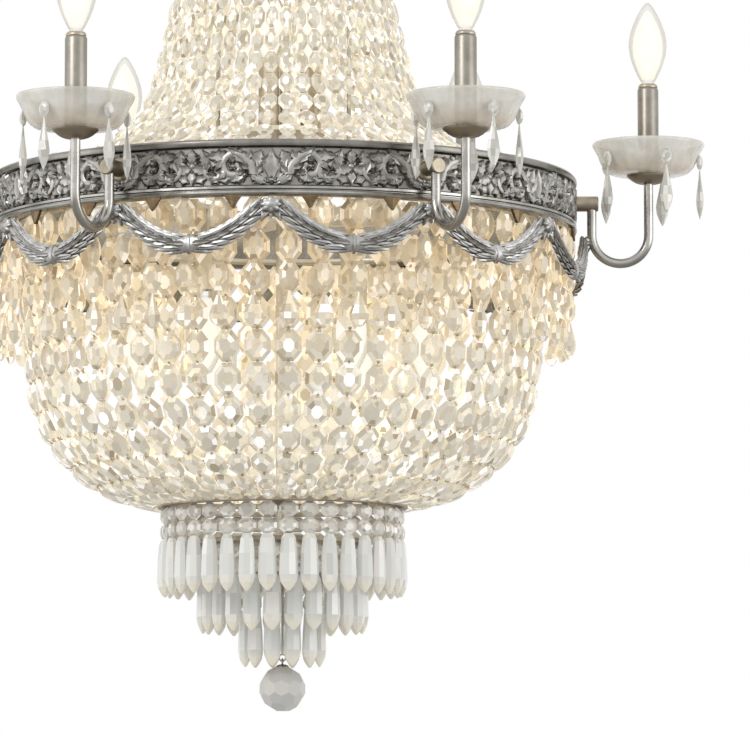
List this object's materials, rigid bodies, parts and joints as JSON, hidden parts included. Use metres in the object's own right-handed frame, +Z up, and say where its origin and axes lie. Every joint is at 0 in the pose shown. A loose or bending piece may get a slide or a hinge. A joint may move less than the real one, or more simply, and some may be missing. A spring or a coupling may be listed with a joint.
{
  "type": "crystal chandelier",
  "caption": "Crystal chandelier with a frieze band, candle arms with glass cups, garlands, a tent and a basket of bead strands, stepped prism tiers and a hanging ball.",
  "frame": {"origin": "centre of the top loop's bore, from which the chandelier hangs", "axes": "+Z up along the stem, +X towards the first arm, +Y along the top loop's bore"},
  "size_m": [0.772, 0.6824, 0.8542],
  "materials": {
    "nickel": "polished antique nickel",
    "crystal": "cut and polished",
    "cup_glass": "pressed, slightly milky",
    "lamp_glass": "clear envelope, lit"
  },
  "bodies": {
    "fixture": {"top_loop": "nickel", "centre_stem": "nickel", "crown_ring": "nickel", "main_band": "nickel", "crown_spider": "nickel", "band_spider": "nickel", "floor_ring": "nickel", "second_ring": "nickel", "third_ring": "nickel", "strand_ring": "nickel", "garland_swags": "nickel", "garland_knots": "nickel", "arm_brackets": "nickel", "arm_tubes": "nickel", "drip_pans": "nickel", "candle_sleeves": "nickel", "lamp_holders": "nickel", "candle_plate": "nickel", "inner_sleeves": "nickel", "inner_holders": "nickel", "tie_rods": "nickel", "hanging_holders": "nickel", "finial_hook": "nickel", "upper_strands": "crystal", "basket_strands": "crystal", "fringe_beads": "crystal", "fringe_drops": "crystal", "tier_1_prisms": "crystal", "tier_2_prisms": "crystal", "tier_3_prisms": "crystal", "centre_prisms": "crystal", "cup_pendants": "crystal", "glass_cups": "cup_glass", "inner_bulbs": "lamp_glass", "hanging_bulbs": "lamp_glass"},
    "arm_bulb_1": {"arm_bulb_1": "lamp_glass"},
    "arm_bulb_2": {"arm_bulb_2": "lamp_glass"},
    "arm_bulb_3": {"arm_bulb_3": "lamp_glass"},
    "arm_bulb_4": {"arm_bulb_4": "lamp_glass"},
    "arm_bulb_5": {"arm_bulb_5": "lamp_glass"},
    "arm_bulb_6": {"arm_bulb_6": "lamp_glass"},
    "pendant_1_left": {"pendant_1_left": "crystal"},
    "pendant_1_right": {"pendant_1_right": "crystal"},
    "pendant_2_left": {"pendant_2_left": "crystal"},
    "pendant_2_right": {"pendant_2_right": "crystal"},
    "pendant_3_left": {"pendant_3_left": "crystal"},
    "pendant_3_right": {"pendant_3_right": "crystal"},
    "pendant_4_left": {"pendant_4_left": "crystal"},
    "pendant_4_right": {"pendant_4_right": "crystal"},
    "pendant_5_left": {"pendant_5_left": "crystal"},
    "pendant_5_right": {"pendant_5_right": "crystal"},
    "pendant_6_left": {"pendant_6_left": "crystal"},
    "pendant_6_right": {"pendant_6_right": "crystal"},
    "crystal_ball": {"crystal_ball": "crystal"}
  },
  "joints": [
    {"name": "arm_bulb_1_unscrew", "type": "slide", "parent": "fixture", "child": "arm_bulb_1", "axis": [0, 0, 1], "range_m": [0, 0.017]},
    {"name": "arm_bulb_2_unscrew", "type": "slide", "parent": "fixture", "child": "arm_bulb_2", "axis": [0, 0, 1], "range_m": [0, 0.017]},
    {"name": "arm_bulb_3_unscrew", "type": "slide", "parent": "fixture", "child": "arm_bulb_3", "axis": [0, 0, 1], "range_m": [0, 0.017]},
    {"name": "arm_bulb_4_unscrew", "type": "slide", "parent": "fixture", "child": "arm_bulb_4", "axis": [0, 0, 1], "range_m": [0, 0.017]},
    {"name": "arm_bulb_5_unscrew", "type": "slide", "parent": "fixture", "child": "arm_bulb_5", "axis": [0, 0, 1], "range_m": [0, 0.017]},
    {"name": "arm_bulb_6_unscrew", "type": "slide", "parent": "fixture", "child": "arm_bulb_6", "axis": [0, 0, 1], "range_m": [0, 0.017]},
    {"name": "pendant_1_left_swing", "type": "hinge", "parent": "fixture", "child": "pendant_1_left", "pos_m": [0.34902, -0.0447, -0.32726], "axis": [-0.9511, -0.309, 0], "range_deg": [-5, 50]},
    {"name": "pendant_1_right_swing", "type": "hinge", "parent": "fixture", "child": "pendant_1_right", "pos_m": [0.34902, 0.0447, -0.32726], "axis": [0.9511, -0.309, 0], "range_deg": [-5, 50]},
    {"name": "pendant_2_left_swing", "type": "hinge", "parent": "fixture", "child": "pendant_2_left", "pos_m": [0.21322, 0.27991, -0.32726], "axis": [-0.2079, -0.9781, 0], "range_deg": [-5, 50]},
    {"name": "pendant_2_right_swing", "type": "hinge", "parent": "fixture", "child": "pendant_2_right", "pos_m": [0.1358, 0.32461, -0.32726], "axis": [0.7431, 0.6691, 0], "range_deg": [-5, 50]},
    {"name": "pendant_3_left_swing", "type": "hinge", "parent": "fixture", "child": "pendant_3_left", "pos_m": [-0.1358, 0.32461, -0.32726], "axis": [0.7431, -0.6691, 0], "range_deg": [-5, 50]},
    {"name": "pendant_3_right_swing", "type": "hinge", "parent": "fixture", "child": "pendant_3_right", "pos_m": [-0.21322, 0.27991, -0.32726], "axis": [-0.2079, 0.9781, 0], "range_deg": [-5, 50]},
    {"name": "pendant_4_left_swing", "type": "hinge", "parent": "fixture", "child": "pendant_4_left", "pos_m": [-0.34902, 0.0447, -0.32726], "axis": [0.9511, 0.309, 0], "range_deg": [-5, 50]},
    {"name": "pendant_4_right_swing", "type": "hinge", "parent": "fixture", "child": "pendant_4_right", "pos_m": [-0.34902, -0.0447, -0.32726], "axis": [-0.9511, 0.309, 0], "range_deg": [-5, 50]},
    {"name": "pendant_5_left_swing", "type": "hinge", "parent": "fixture", "child": "pendant_5_left", "pos_m": [-0.21322, -0.27991, -0.32726], "axis": [0.2079, 0.9781, 0], "range_deg": [-5, 50]},
    {"name": "pendant_5_right_swing", "type": "hinge", "parent": "fixture", "child": "pendant_5_right", "pos_m": [-0.1358, -0.32461, -0.32726], "axis": [-0.7431, -0.6691, 0], "range_deg": [-5, 50]},
    {"name": "pendant_6_left_swing", "type": "hinge", "parent": "fixture", "child": "pendant_6_left", "pos_m": [0.1358, -0.32461, -0.32726], "axis": [-0.7431, 0.6691, 0], "range_deg": [-5, 50]},
    {"name": "pendant_6_right_swing", "type": "hinge", "parent": "fixture", "child": "pendant_6_right", "pos_m": [0.21322, -0.27991, -0.32726], "axis": [0.2079, -0.9781, 0], "range_deg": [-5, 50]},
    {"name": "crystal_ball_swing", "type": "hinge", "parent": "fixture", "child": "crystal_ball", "pos_m": [0, 0, -0.7899], "axis": [1, 0, 0], "range_deg": [-20, 20]}
  ]
}
